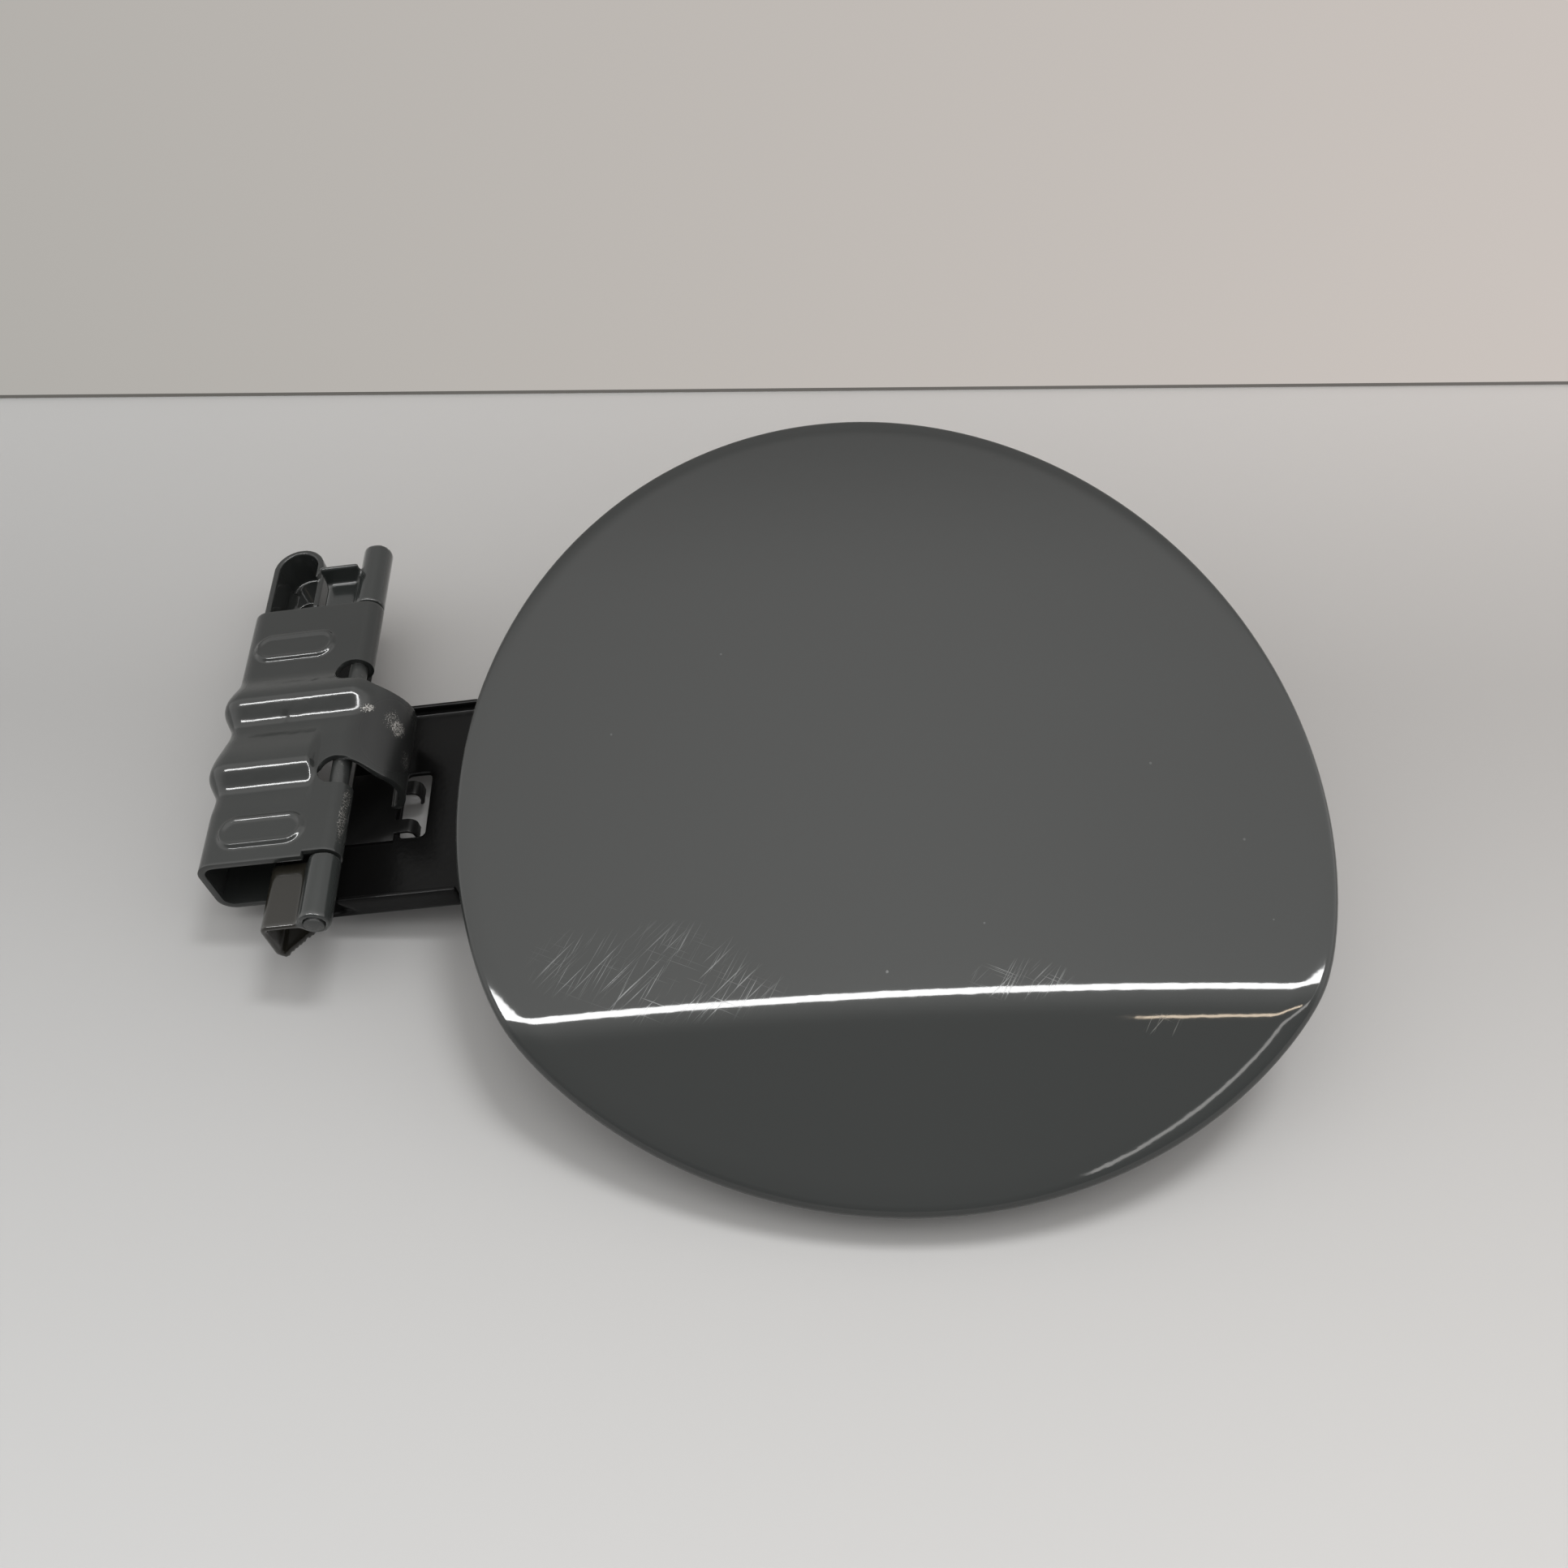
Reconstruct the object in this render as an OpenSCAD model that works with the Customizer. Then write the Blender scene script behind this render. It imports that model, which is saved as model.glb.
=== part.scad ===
// Car fuel door: a creased round lid on a pressed arm, hinged to a ribbed base.
// All parts are drawn about the hinge pin and then moved so that the origin
// lies between the two fixing holes, on the lower face of the base.

/* [Lid] */
// Greatest width of the lid, along X
lid_w = 169; // [150:1:185]
// From the lid's centre to its far rim
lid_far = 80; // [74:0.5:88]
// From the lid's centre to its near rim
lid_near = 78.5; // [72:0.5:86]
// How far in front of the lid's centre the crease runs
crease_dist = 44.5; // [36:0.5:52]
// Steel thickness of the skin and of the inner panel
sheet_t = 0.8; // [0.6:0.1:1.2]
// Width of the hem that is turned back under the rim
hem_w = 9; // [6:0.5:12]
// Height of the lid's centre over the pin
lid_rise = 6; // [3:0.5:9]
// Distance from the pin to the lid's centre
lid_reach = 112; // [106:0.5:120]
// How far the lid's centre sits in front of the hinge's zero line
lid_shift = 25.5; // [20:0.5:30]
// Rise of the lid per millimetre towards the far rim
lid_pitch = 0.25; // [0.15:0.01:0.3]
// Fall of the lid per millimetre away from the hinge
lid_roll = 0.09; // [0:0.01:0.12]
// Extra fall per millimetre in front of the crease
fold_slope = 0.3; // [0.1:0.01:0.45]
// Depth of the inner panel's flat floor below the skin's middle
inner_depth = 11; // [8.5:0.5:13]

/* [Hinge] */
// Diameter of the hinge pin
pin_d = 4; // [3:0.1:5]
// Outside diameter of the rolled knuckles
knuckle_d = 6.6; // [6.2:0.1:7.6]
// Radial play of the pin in the knuckles
play = 0.05; // [0.02:0.01:0.1]
// Length of each of the two inner knuckles
knuckle_len = 17.5; // [14:0.5:19]
// Length of each of the two outer knuckles
outer_len = 15.3; // [12:0.1:18]
// Side gap between neighbouring knuckles
knuckle_gap = 0.4; // [0.2:0.1:0.8]

/* [Base] */
// Sheet thickness of the base
base_t = 1.4; // [1:0.1:1.8]
// From the pin's axis to the outside of the base's back wall
base_w = 26.5; // [24:0.5:30]
// Length of the ribbed plate along the pin
base_len = 69; // [66:0.5:72]
// Height of the whole base, from its fixing face to the ribbed plate
base_h = 15.6; // [15:0.1:17]
// Diameter of the two fixing holes
hole_d = 5.5; // [4.5:0.1:6.5]
// Distance between the two fixing holes
hole_pitch = 70; // [66:0.5:72]
// Height of the two long ribs over the plate
rib_h = 2; // [1:0.1:2.5]

/* [Arm] */
// Sheet thickness of the arm
arm_t = 1.2; // [1:0.1:1.6]
// Width of the arm's neck
arm_w = 53.4; // [48:0.5:56]
// From the pin's axis to the arm's upper face
arm_drop = 15.2; // [15:0.1:17]
// Thickness of the leaf spring
spring_t = 0.6; // [0.4:0.1:0.7]

/* [Lock side] */
// Wire diameter of the striker loop
wire_d = 4; // [3:0.5:6]
// Length of the striker loop below its foot
loop_len = 20; // [16:1:26]
// Diameter of each rubber stop
stop_d = 10; // [8:0.5:10.5]

// Width of the striker loop, between the middles of its wires
loop_w = 16; // [14:1:20]
// Size of the striker's foot along X
foot_w = 14; // [10:1:18]
// Thickness of the striker's foot
foot_t = 1.5; // [1:0.1:2.5]
// Height of each rubber stop
stop_h = 5; // [4:0.5:8]
// Thickness of each rubber stop's foot
stop_foot = 1.5; // [1:0.1:2.5]
// Gap between the inner panel and what is fixed under it
seat_gap = 0.12; // [0.05:0.01:0.2]

/* [Hidden] */
$fn = 48;
e = 0.01;

paint = [0.34, 0.35, 0.345];
hinge_paint = [0.31, 0.32, 0.31];
black = [0.09, 0.09, 0.09];
steel = [0.6, 0.6, 0.6];
rubber_black = [0.05, 0.05, 0.05];

// Places along the pin, from near to far
base_near = -base_len / 2 + 2.5;
base_far = base_near + base_len;
tongue_mid = 2.5;
near_notch_x = -0.2;
near_notch_y = -10.5;
near_notch_r = 3.5;
far_notch_x = -0.2;
far_notch_y = 16.2;
far_notch_r = 3.3;
tongue_near = near_notch_y + near_notch_r;
tongue_far = far_notch_y - far_notch_r;
inner_near = base_near + 1.2;
outer_near = inner_near - knuckle_gap;
outer_far = base_far + knuckle_gap;
pin_near = outer_near - outer_len - 0.2;
pin_far = outer_far + outer_len + 2.7;

// The base's section
plate_z = knuckle_d / 2;
foot_z = plate_z - base_h;
wall_x = -base_w;
bend_r = 4;
foot_r = 3.5;
foot_edge = wall_x + 12;
hole_x = wall_x + 6;
hole_mid = 15;
hood_far = hole_mid + hole_pitch / 2 + 12;

// The arm's section
arm_top = -arm_drop;
arm_low = arm_top - arm_t;
arm_mid = -7.8;
arm_near = arm_mid - arm_w / 2;
arm_far = arm_mid + arm_w / 2;
wall_near = tongue_mid - 16;
wall_far = tongue_mid + 15;
root_end = 3;
root_far = max(arm_far, wall_far) + 3;
near_edge_h = 6;
far_edge_h = 3.5;
fold_x = -11.5;
neck_end = 24;
slot_x = 8.2;
slot_w = 5.4;
slot_near = -16.2;
slot_len = 16.6;

// The lid's outline: two ellipse arcs that meet at the ends of the crease
crease_y = -crease_dist;
far_mid = -7.5;
near_mid = -4;
far_b = lid_far - far_mid;
near_b = lid_near + near_mid;
far_a = lid_w / 2;
far_phi = asin((crease_y - far_mid) / far_b);
near_phi = asin((near_mid - crease_y) / near_b);
near_a = far_a * cos(far_phi) / cos(near_phi);
lean = -0.028;
mid_x = 1.8;
far_n = 56;
near_n = 40;
crown_x = 0.0008;
crown_y = 0.0004;

function rim(i) = i < far_n
    ? let(a = far_phi + (180 - 2 * far_phi) * i / far_n,
          y = far_mid + far_b * sin(a))
      [mid_x + far_a * cos(a) + lean * (y - crease_y), y]
    : let(a = 180 + near_phi + (180 - 2 * near_phi) * (i - far_n) / near_n)
      [mid_x + near_a * cos(a), near_mid + near_b * sin(a)];

// A ring of the outline, drawn in towards the middle of the crease
function ring(s) = [for (i = [0:far_n + near_n - 1])
    let(p = rim(i)) [mid_x + s * (p[0] - mid_x), crease_y + s * (p[1] - crease_y)]];

function fall(y) = fold_slope * max(0, crease_y - y);
function pitch_at(y) = lid_pitch + (y < crease_y ? fold_slope : 0);
function plane_z(x, y) = lid_rise - lid_roll * x + lid_pitch * y - fall(y);
function skin_z(x, y) = plane_z(x, y) - crown_x * x * x - crown_y * y * y;
function inset(d) = 1 - d / (lid_w / 2);

module at_origin() translate([-hole_x, -hole_mid, -foot_z]) children();
module at_lid() at_origin() translate([lid_reach, -lid_shift, 0]) children();

// A closed shell from rings of equal length, with a point at each end
module ring_solid(first, rings, last) {
    n = len(rings[0]);
    m = len(rings);
    points = concat([first], [for (r = rings) each r], [last]);
    faces = concat(
        [for (i = [0:n - 1]) [0, 1 + (i + 1) % n, 1 + i]],
        [for (j = [0:m - 2], i = [0:n - 1])
            each [[1 + j * n + i, 1 + j * n + (i + 1) % n, 1 + (j + 1) * n + i],
                  [1 + j * n + (i + 1) % n, 1 + (j + 1) * n + (i + 1) % n,
                   1 + (j + 1) * n + i]]],
        [for (i = [0:n - 1]) [m * n + 1, 1 + (m - 1) * n + i,
                              1 + (m - 1) * n + (i + 1) % n]]);
    polyhedron(points, faces);
}

function on_skin(s, d) = [for (p = ring(s)) [p[0], p[1], skin_z(p[0], p[1]) - d]];
function on_plane(s, d) = [for (p = ring(s)) [p[0], p[1], plane_z(p[0], p[1]) - d]];

// Outer panel: the skin, its turned edge and the hem that grips the inner panel
module outer_panel() {
    skin = [0.15, 0.3, 0.45, 0.6, 0.72, 0.83, 0.92, 0.97];
    slot = sheet_t + 0.1;
    c = skin_z(mid_x, crease_y);
    color(paint) at_lid() ring_solid(
        [mid_x, crease_y, c],
        concat([for (s = skin) on_skin(s, 0)],
               [on_skin(inset(0.3), 0.08), on_skin(1, 0.5),
                on_skin(1, 1.9 * sheet_t + slot - 0.4),
                on_skin(inset(0.4), 2 * sheet_t + slot),
                on_skin(inset(hem_w), 2 * sheet_t + slot),
                on_skin(inset(hem_w), sheet_t + slot),
                on_skin(inset(1.1), sheet_t + slot),
                on_skin(inset(1.1), sheet_t)],
               [for (k = [1:len(skin)]) on_skin(skin[len(skin) - k], sheet_t)]),
        [mid_x, crease_y, c - sheet_t]);
}

// Inner panel: a tray whose edge lies in the hem, with a raised middle
module inner_panel() {
    lip = sheet_t + 0.05;
    dish = 4;
    top = concat([on_plane(0.15, inner_depth - dish), on_plane(0.38, inner_depth - dish),
                  on_plane(0.44, inner_depth), on_plane(0.6, inner_depth),
                  on_plane(0.72, inner_depth), on_plane(0.8, inner_depth),
                  on_skin(0.87, lip)],
                 [on_skin(0.93, lip), on_skin(inset(1.3), lip)]);
    c = plane_z(mid_x, crease_y) - inner_depth + dish;
    low = [for (k = [1:len(top)]) [for (p = top[len(top) - k]) p - [0, 0, sheet_t]]];
    color(paint) at_lid() ring_solid([mid_x, crease_y, c], concat(top, low),
                                     [mid_x, crease_y, c - sheet_t]);
}

// A quarter of a bent sheet, seen along Y
module quarter(r, t, a) rotate(a) intersection() {
    difference() {
        circle(r);
        circle(r - t);
    }
    square(r + 1);
}

// Turns a section drawn in X and Z into a bar along Y from y0 to y1
module along_y(y0, y1) translate([0, y1, 0]) rotate([90, 0, 0])
    linear_extrude(y1 - y0) children();

module knuckle(y0, y1, d) along_y(y0, y1) circle(d / 2);
module knuckle_bore(y0, y1) along_y(y0 - e, y1 + e) circle(pin_d / 2 + play);

// The slit where the rolled sheet meets itself
module roll_slit(y0, y1, a) translate([0, y0 - e, 0]) rotate([0, -a, 0])
    translate([pin_d / 2, 0, -0.15]) cube([knuckle_d, y1 - y0 + 2 * e, 0.3]);

module base_section() {
    translate([wall_x + bend_r, plate_z - base_t]) square([base_w - bend_r, base_t]);
    translate([wall_x + bend_r, plate_z - bend_r]) quarter(bend_r, base_t, 90);
    wall_section();
}

module wall_section() {
    translate([wall_x, foot_z + foot_r]) square([base_t, base_h - foot_r - bend_r]);
    translate([wall_x + foot_r, foot_z + foot_r]) quarter(foot_r, base_t, 180);
    translate([wall_x + foot_r, foot_z]) square([foot_edge - wall_x - foot_r, base_t]);
}

// One long rib: a low ridge that runs over the back bend and down the wall
module rib(y, end_x, shrink) {
    r = 10 - shrink;
    sink = 10 - rib_h;
    top = plate_z - sink;
    side = wall_x + sink;
    cx = wall_x + bend_r;
    cz = plate_z - bend_r;
    fade = 2.5;
    translate([cx, y, top]) rotate([0, 90, 0]) intersection() {
        cylinder(h = end_x - cx, r = r, $fn = 64);
        translate([-20, -r, -1]) cube([20 + top - cz, 2 * r, 60]);
    }
    intersection() {
        translate([end_x, y, top]) sphere(r, $fn = 64);
        translate([end_x - e, y - r, cz]) cube([r, 2 * r, r]);
    }
    translate([cx, y, cz]) rotate([90, 0, 0]) rotate_extrude(angle = 90, start = 90, $fn = 64)
        intersection() {
            translate([bend_r - sink, 0]) circle(r, $fn = 64);
            translate([0, -r]) square([r, 2 * r]);
        }
    intersection() {
        translate([side, y, cz - fade]) cylinder(h = fade, r = r, $fn = 64);
        translate([wall_x - rib_h, y - r, cz - fade]) cube([2 * rib_h, 2 * r, fade]);
    }
    intersection() {
        translate([side, y, cz - fade]) sphere(r, $fn = 64);
        translate([wall_x - rib_h, y - r, cz - fade - r]) cube([rib_h + e, 2 * r, r + e]);
    }
}

// One oval pad: a long cone-sided emboss on the plate
module oval_pad(y, x0, x1) {
    r = 4;
    h = 0.8;
    for (x = [x0 + r, x1 - r])
        translate([x, y, plate_z - e]) cylinder(h = h + e, r1 = r, r2 = r - h);
    translate([x0 + r, y, plate_z - e]) rotate([90, 0, 90]) linear_extrude(x1 - x0 - 2 * r)
        polygon([[-r, 0], [r, 0], [r - h, h + e], [h - r, h + e]]);
}

// Tongue: carries on over the pin and curls down, as the cam for the spring
module tongue() {
    cx = 4.5;
    r = 7.9;
    cz = plate_z - r;
    intersection() {
        along_y(tongue_mid - 14, tongue_mid + 14) {
            translate([-8, plate_z - base_t]) square([cx + 8, base_t]);
            translate([cx, cz]) quarter(r, base_t, 0);
            translate([cx, cz]) intersection() {
                quarter(r, base_t, -90);
                rotate(-60) square(r + 1);
            }
        }
        // The plan leans a little towards the near side
        translate([0, 0, -20]) linear_extrude(40)
            polygon([[-9, tongue_near], [cx - 2.5, tongue_near - 0.4], [cx, tongue_near - 2.1],
                     [cx + 3, tongue_near - 4.1], [cx + 5, tongue_near - 5.1],
                     [cx + r + 1, tongue_near - 5.3], [cx + r + 1, tongue_far - 3.6],
                     [cx + 6, tongue_far - 3.2], [cx + 4, tongue_far - 2.5],
                     [cx + 1.7, tongue_far - 1.5], [cx - 1.2, tongue_far - 0.3],
                     [-9, tongue_far]]);
    }
}

// Notch: a slot with a round end that parts the tongue from a knuckle
module notch(x, y, r) {
    translate([x, y - r, -2]) cube([20, 2 * r, 9]);
    translate([x, y, -2]) cylinder(h = 9, r = r);
}

// Base: ribbed plate, back wall and foot pressed from one sheet
module hinge_base() color(hinge_paint) at_origin() difference() {
    union() {
        difference() {
            union() {
                along_y(base_near, base_far) base_section();
                along_y(base_far - e, hood_far - 6) wall_section();
                rib(7, 1, 0);
                rib(-11.3, -9, 0);
            }
            rib(7, 1, base_t);
            rib(-11.3, -9, base_t);
            // The plate is cut back to the tongue's root
            notch(near_notch_x, near_notch_y, near_notch_r);
            notch(far_notch_x, far_notch_y, far_notch_r);
            // The near corner of the plate makes room for the outer knuckle
            translate([-knuckle_d / 2 - knuckle_gap, base_near - 1, -2])
                cube([knuckle_d, inner_near - base_near + 1, 9]);
            // The back wall is cut down behind the ribbed plate
            translate([wall_x - 1, base_far, -2]) cube([14, 40, 12]);
        }
        tongue();
        oval_pad(25.5, -23.5, -4.8);
        oval_pad(-24.5, -22.5, -4);
        knuckle(inner_near, inner_near + knuckle_len - 0.7, knuckle_d);
        knuckle(base_far - knuckle_len, base_far, knuckle_d);
        hood();
    }
    knuckle_bore(base_near - 1, base_far + 1);
    roll_slit(inner_near, inner_near + knuckle_len, 215);
    roll_slit(base_far - knuckle_len - 0.7, base_far, 215);
    for (s = [-1, 1])
        translate([hole_x, hole_mid + s * hole_pitch / 2, foot_z - 1])
            cylinder(h = base_t + 2, d = hole_d);
}

// Hood: the foot's far end, drawn up into an open scoop
module hood() {
    cy = hood_far - 6;
    intersection() {
        difference() {
            union() {
                translate([hole_x, cy, foot_z]) cylinder(h = -foot_z - 2, r = 6);
                translate([hole_x, hood_far - 18, foot_z]) cube([6, 12, -foot_z - 3.5]);
            }
            translate([hole_x, cy, foot_z + base_t]) cylinder(h = 20, r = 6 - base_t);
            translate([wall_x + base_t, hood_far - 30, foot_z + base_t])
                cube([12 - 2 * base_t, 24, 20]);
        }
        translate([wall_x, hood_far - 18 - e, foot_z]) cube([12, 20, 20]);
    }
}

// The wings' section: upper plate, back wall and slope down to the neck
module wing_section(plate) {
    if (plate) {
        translate([fold_x + 1.8, 0.2 - arm_t]) square([-fold_x - 1.8, arm_t]);
        translate([fold_x + 1.8, 0.2 - 1.8]) quarter(1.8, arm_t, 90);
    }
    translate([fold_x, -9.6]) square([arm_t, 8]);
    polygon([[fold_x, -9.6], [-5, arm_low], [-4, arm_low], [-4, arm_top],
             [-4.6, arm_top], [fold_x + arm_t, -9.2], [fold_x + arm_t, -9.6 + e]]);
}

// Flare: the neck widens and climbs to the pad under the inner panel
module flare() {
    pad_gap = 0.02;
    x1 = 46;
    x2 = 78;
    y_a = [arm_near, arm_far];
    y_b = [-40, 21];
    function pad(x, y) = lid_rise - lid_roll * (x - lid_reach) + lid_pitch * (y + lid_shift)
        - inner_depth - sheet_t - pad_gap;
    top = [[neck_end, y_a[0], arm_top], [neck_end, y_a[1], arm_top],
           [x1, y_b[0], pad(x1, y_b[0])], [x1, y_b[1], pad(x1, y_b[1])],
           [x2, y_b[0], pad(x2, y_b[0])], [x2, y_b[1], pad(x2, y_b[1])]];
    polyhedron(concat(top, [for (p = top) p - [0, 0, arm_t]]),
        [[0, 1, 2], [1, 3, 2], [2, 3, 4], [3, 5, 4],
         [6, 8, 7], [7, 8, 9], [8, 10, 9], [9, 10, 11],
         [0, 2, 8], [0, 8, 6], [2, 4, 10], [2, 10, 8],
         [1, 7, 9], [1, 9, 3], [3, 9, 11], [3, 11, 5],
         [0, 6, 7], [0, 7, 1], [4, 5, 11], [4, 11, 10]]);
}

// Arm: outer knuckles, folded wings and neck pressed from one sheet
module hinge_arm() color(black) at_origin() union() {
    difference() {
        union() {
            intersection() {
                union() {
                    along_y(pin_near + 0.2, outer_near) wing_section(true);
                    along_y(outer_near - e, wall_near) wing_section(false);
                    along_y(outer_far, outer_far + 10) wing_section(true);
                    along_y(wall_far, outer_far + e) wing_section(false);
                    translate([-4.5, arm_near, arm_low])
                        cube([neck_end + 4.5, arm_w, arm_t]);
                    translate([-4.5, arm_near - 7.5, arm_low])
                        cube([root_end + 4.5, root_far + 7.5 - arm_near, arm_t]);
                }
                // The plan of the blank, cut in from the wings to the neck
                translate([0, 0, -30]) linear_extrude(40)
                    polygon([[-12, -60], [0, -60], [0, arm_near - 7.5], [-1, arm_near - 5],
                             [root_end, arm_near], [60, arm_near], [60, arm_far],
                             [root_end, arm_far], [-2.5, root_far],
                             [0, outer_far], [0, 60], [-12, 60]]);
            }
            knuckle(pin_near + 0.2, outer_near, knuckle_d);
            knuckle(outer_far, pin_far - 0.2, knuckle_d);
            // The web that stands up beside the far knuckle
            translate([fold_x, outer_far + 9.5, -1]) cube([-fold_x - 2.5, arm_t, 6]);
            // Turned-up edges of the neck
            translate([root_end, arm_near, arm_low])
                cube([neck_end - root_end, arm_t, near_edge_h]);
            translate([root_end, arm_far - arm_t, arm_low])
                cube([neck_end - root_end, arm_t, far_edge_h]);
        }
        knuckle_bore(pin_near, outer_near);
        knuckle_bore(outer_far, pin_far);
        roll_slit(pin_near, outer_near, 150);
        roll_slit(outer_far, pin_far, 150);
        // The near wing is cut down obliquely to the neck
        translate([0, 0, arm_low - 4]) linear_extrude(-arm_low)
            polygon([[fold_x + arm_t, pin_near - 1], [root_end + 1, pin_near - 1],
                     [root_end + 1, arm_near], [-4.5, arm_near]]);
        translate([slot_x, slot_near, arm_low - 1]) cube([slot_w, slot_len, arm_t + 2]);
    }
    flare();
}

module hinge_pin() color(steel) at_origin()
    along_y(pin_near, pin_far) circle(pin_d / 2);

// One finger of the spring: it reaches over the slot and hooks down into it
finger_w = 3.4;
finger_inset = 1;
finger_r = 2;
hook_r = 1;

module finger(y) {
    reach = slot_w - finger_r - hook_r - 0.9;
    top = arm_top + spring_t - finger_r;
    low = arm_low - 1.6;
    translate([slot_x - reach, y, arm_top]) cube([2 * reach, finger_w, spring_t]);
    along_y(y, y + finger_w) {
        translate([slot_x + reach, top]) quarter(finger_r, spring_t, 0);
        translate([slot_x + reach + finger_r - spring_t, low])
            square([spring_t, top - low + e]);
        translate([slot_x + reach + finger_r - hook_r, low]) quarter(hook_r, spring_t, -90);
    }
}

// Leaf spring: a flat blade on the neck with two hooked fingers
module cam_spring() color(black) at_origin() {
    translate([-3.5, slot_near - 1, arm_top]) cube([slot_x + 2.5, slot_len + 2, spring_t]);
    finger(slot_near + finger_inset);
    finger(slot_near + slot_len - finger_inset - finger_w - 1);
}

// Stands a child square under the inner panel's flat floor
module tilted(x, y, drop) at_lid()
    translate([x, y, plane_z(x, y) - inner_depth - sheet_t - drop])
        rotate([atan(pitch_at(y)), 0, 0]) rotate([0, atan(lid_roll), 0]) children();

// Striker: a wire loop welded to a small foot
module latch_striker() color(steel) tilted(lid_w / 2 - 27.5, 2, seat_gap) {
    half = loop_w / 2;
    edge = half + wire_d / 2 + 5;
    translate([-foot_w / 2, -edge, -foot_t]) cube([foot_w, 2 * edge, foot_t]);
    for (s = [-1, 1])
        translate([0, s * half, half - loop_len])
            cylinder(h = loop_len - half - foot_t / 2, d = wire_d);
    translate([0, 0, half - loop_len]) rotate([90, 0, 90])
        rotate_extrude(angle = 180, start = 180) translate([half, 0]) circle(d = wire_d);
}

// Rubber stop: a domed button with a stepped foot
module rubber_stop(x, y) color(rubber_black) tilted(x, y, seat_gap) {
    translate([0, 0, -stop_foot]) cylinder(h = stop_foot, d = stop_d);
    translate([0, 0, -stop_h])
        cylinder(h = stop_h - stop_foot + 0.1, d1 = stop_d - 4, d2 = stop_d - 2);
}

module rubber_stop_far() rubber_stop(8, lid_far - 38);
module rubber_stop_near() rubber_stop(-8, 12.5 - lid_near);
module rubber_stop_side() rubber_stop(lid_w / 2 - 30.5, -26);

outer_panel();
inner_panel();
hinge_arm();
hinge_base();
hinge_pin();
cam_spring();
latch_striker();
rubber_stop_far();
rubber_stop_near();
rubber_stop_side();
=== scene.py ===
# Car fuel door: paint, coats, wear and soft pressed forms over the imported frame.
import math

import bpy
from mathutils import Matrix, Vector


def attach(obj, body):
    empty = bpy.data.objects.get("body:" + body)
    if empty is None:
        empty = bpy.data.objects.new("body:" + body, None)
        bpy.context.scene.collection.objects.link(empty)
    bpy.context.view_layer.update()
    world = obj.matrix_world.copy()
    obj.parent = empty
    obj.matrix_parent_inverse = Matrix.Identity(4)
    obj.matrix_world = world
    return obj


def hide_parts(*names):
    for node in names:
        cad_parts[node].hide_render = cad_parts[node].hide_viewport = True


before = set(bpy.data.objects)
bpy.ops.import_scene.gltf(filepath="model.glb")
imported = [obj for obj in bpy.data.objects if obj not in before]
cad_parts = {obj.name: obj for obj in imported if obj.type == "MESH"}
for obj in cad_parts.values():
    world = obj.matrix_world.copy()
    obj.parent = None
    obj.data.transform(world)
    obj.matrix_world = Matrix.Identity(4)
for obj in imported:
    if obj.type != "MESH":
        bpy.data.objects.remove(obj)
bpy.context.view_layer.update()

# Camera: above the near edge of the lid, looking down and back at the hinge and
# the lid. The lens is the one that draws the photograph's perspective.
PHOTO_SIDE = 1932
PHOTO_FOCUS = 1936
LENS_AT = Vector((0.1405, -0.2267, 0.2584))
RIGHT = Vector((0.9907, -0.0309, -0.1327))
DOWN = Vector((-0.1045, -0.7968, -0.5952))
AHEAD = Vector((-0.0874, 0.6035, -0.7926))

camera_data = bpy.data.cameras.new("photo_camera")
camera_data.sensor_width = 36
camera_data.lens = 36 * PHOTO_FOCUS / PHOTO_SIDE
camera = bpy.data.objects.new("photo_camera", camera_data)
bpy.context.collection.objects.link(camera)
turned = Matrix((RIGHT, -DOWN, -AHEAD)).transposed().to_4x4()
camera.matrix_world = Matrix.Translation(LENS_AT) @ turned
bpy.context.scene.camera = camera


def sight(px, py):
    """The direction in which the camera sees one pixel of the photograph."""
    half = PHOTO_SIDE / 2
    return AHEAD + RIGHT * ((px - half) / PHOTO_FOCUS) + DOWN * ((py - half) / PHOTO_FOCUS)


# Outer panel: 0.8 mm sheet steel, pressed with a body crease and a shallow crown.
# Its edge is hemmed round the inner panel. It is painted in solid dark grey under a
# gloss finish, with fine scratches near the crease.
MM = 0.001
PIN_AT = Vector((0.0205, -0.015, 0.0123))
LID_AT = PIN_AT + Vector((0.112, -0.0255, 0))
CREASE_Y = -44.5
FAR_MID, NEAR_MID = -7.5, -4.0
FAR_B, NEAR_B = 87.5, 74.5
FAR_A = 84.46
FAR_PHI = math.asin((CREASE_Y - FAR_MID) / FAR_B)
NEAR_PHI = math.asin((NEAR_MID - CREASE_Y) / NEAR_B)
NEAR_A = FAR_A * math.cos(FAR_PHI) / math.cos(NEAR_PHI)
LEAN = -0.028
MID_X = 1.8
LID_RISE, LID_ROLL, LID_PITCH = 6.0, 0.09, 0.25
FOLD_TOP, FOLD_RUN, FOLD_SLOPE = -0.8, 7.0, 0.327
CROWN_X, CROWN_Y = 0.0008, 0.0004
SKIN_T = 0.8
HEM_R = 1.25
HEM_W = 9.0
EDGE_RUN, EDGE_FALL = 4.5, 0.5
CORNER = 0.9
CORNER_REACH = 20
FOLD_FROM, FOLD_TO = CREASE_Y - 9, CREASE_Y + 3
NEAR_ROWS, FOLD_ROWS, FAR_ROWS = 34, 30, 60
LAST_ROW = math.radians(88.8)
LID_COLUMNS = 81


def deselect():
    if bpy.context.object and bpy.context.object.mode != "OBJECT":
        bpy.ops.object.mode_set(mode="OBJECT")
    bpy.ops.object.select_all(action="DESELECT")


def pick(obj):
    deselect()
    obj.select_set(True)
    bpy.context.view_layer.objects.active = obj


def smooth(t):
    t = min(1.0, max(0.0, t))
    return t * t * (3 - 2 * t)


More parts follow.
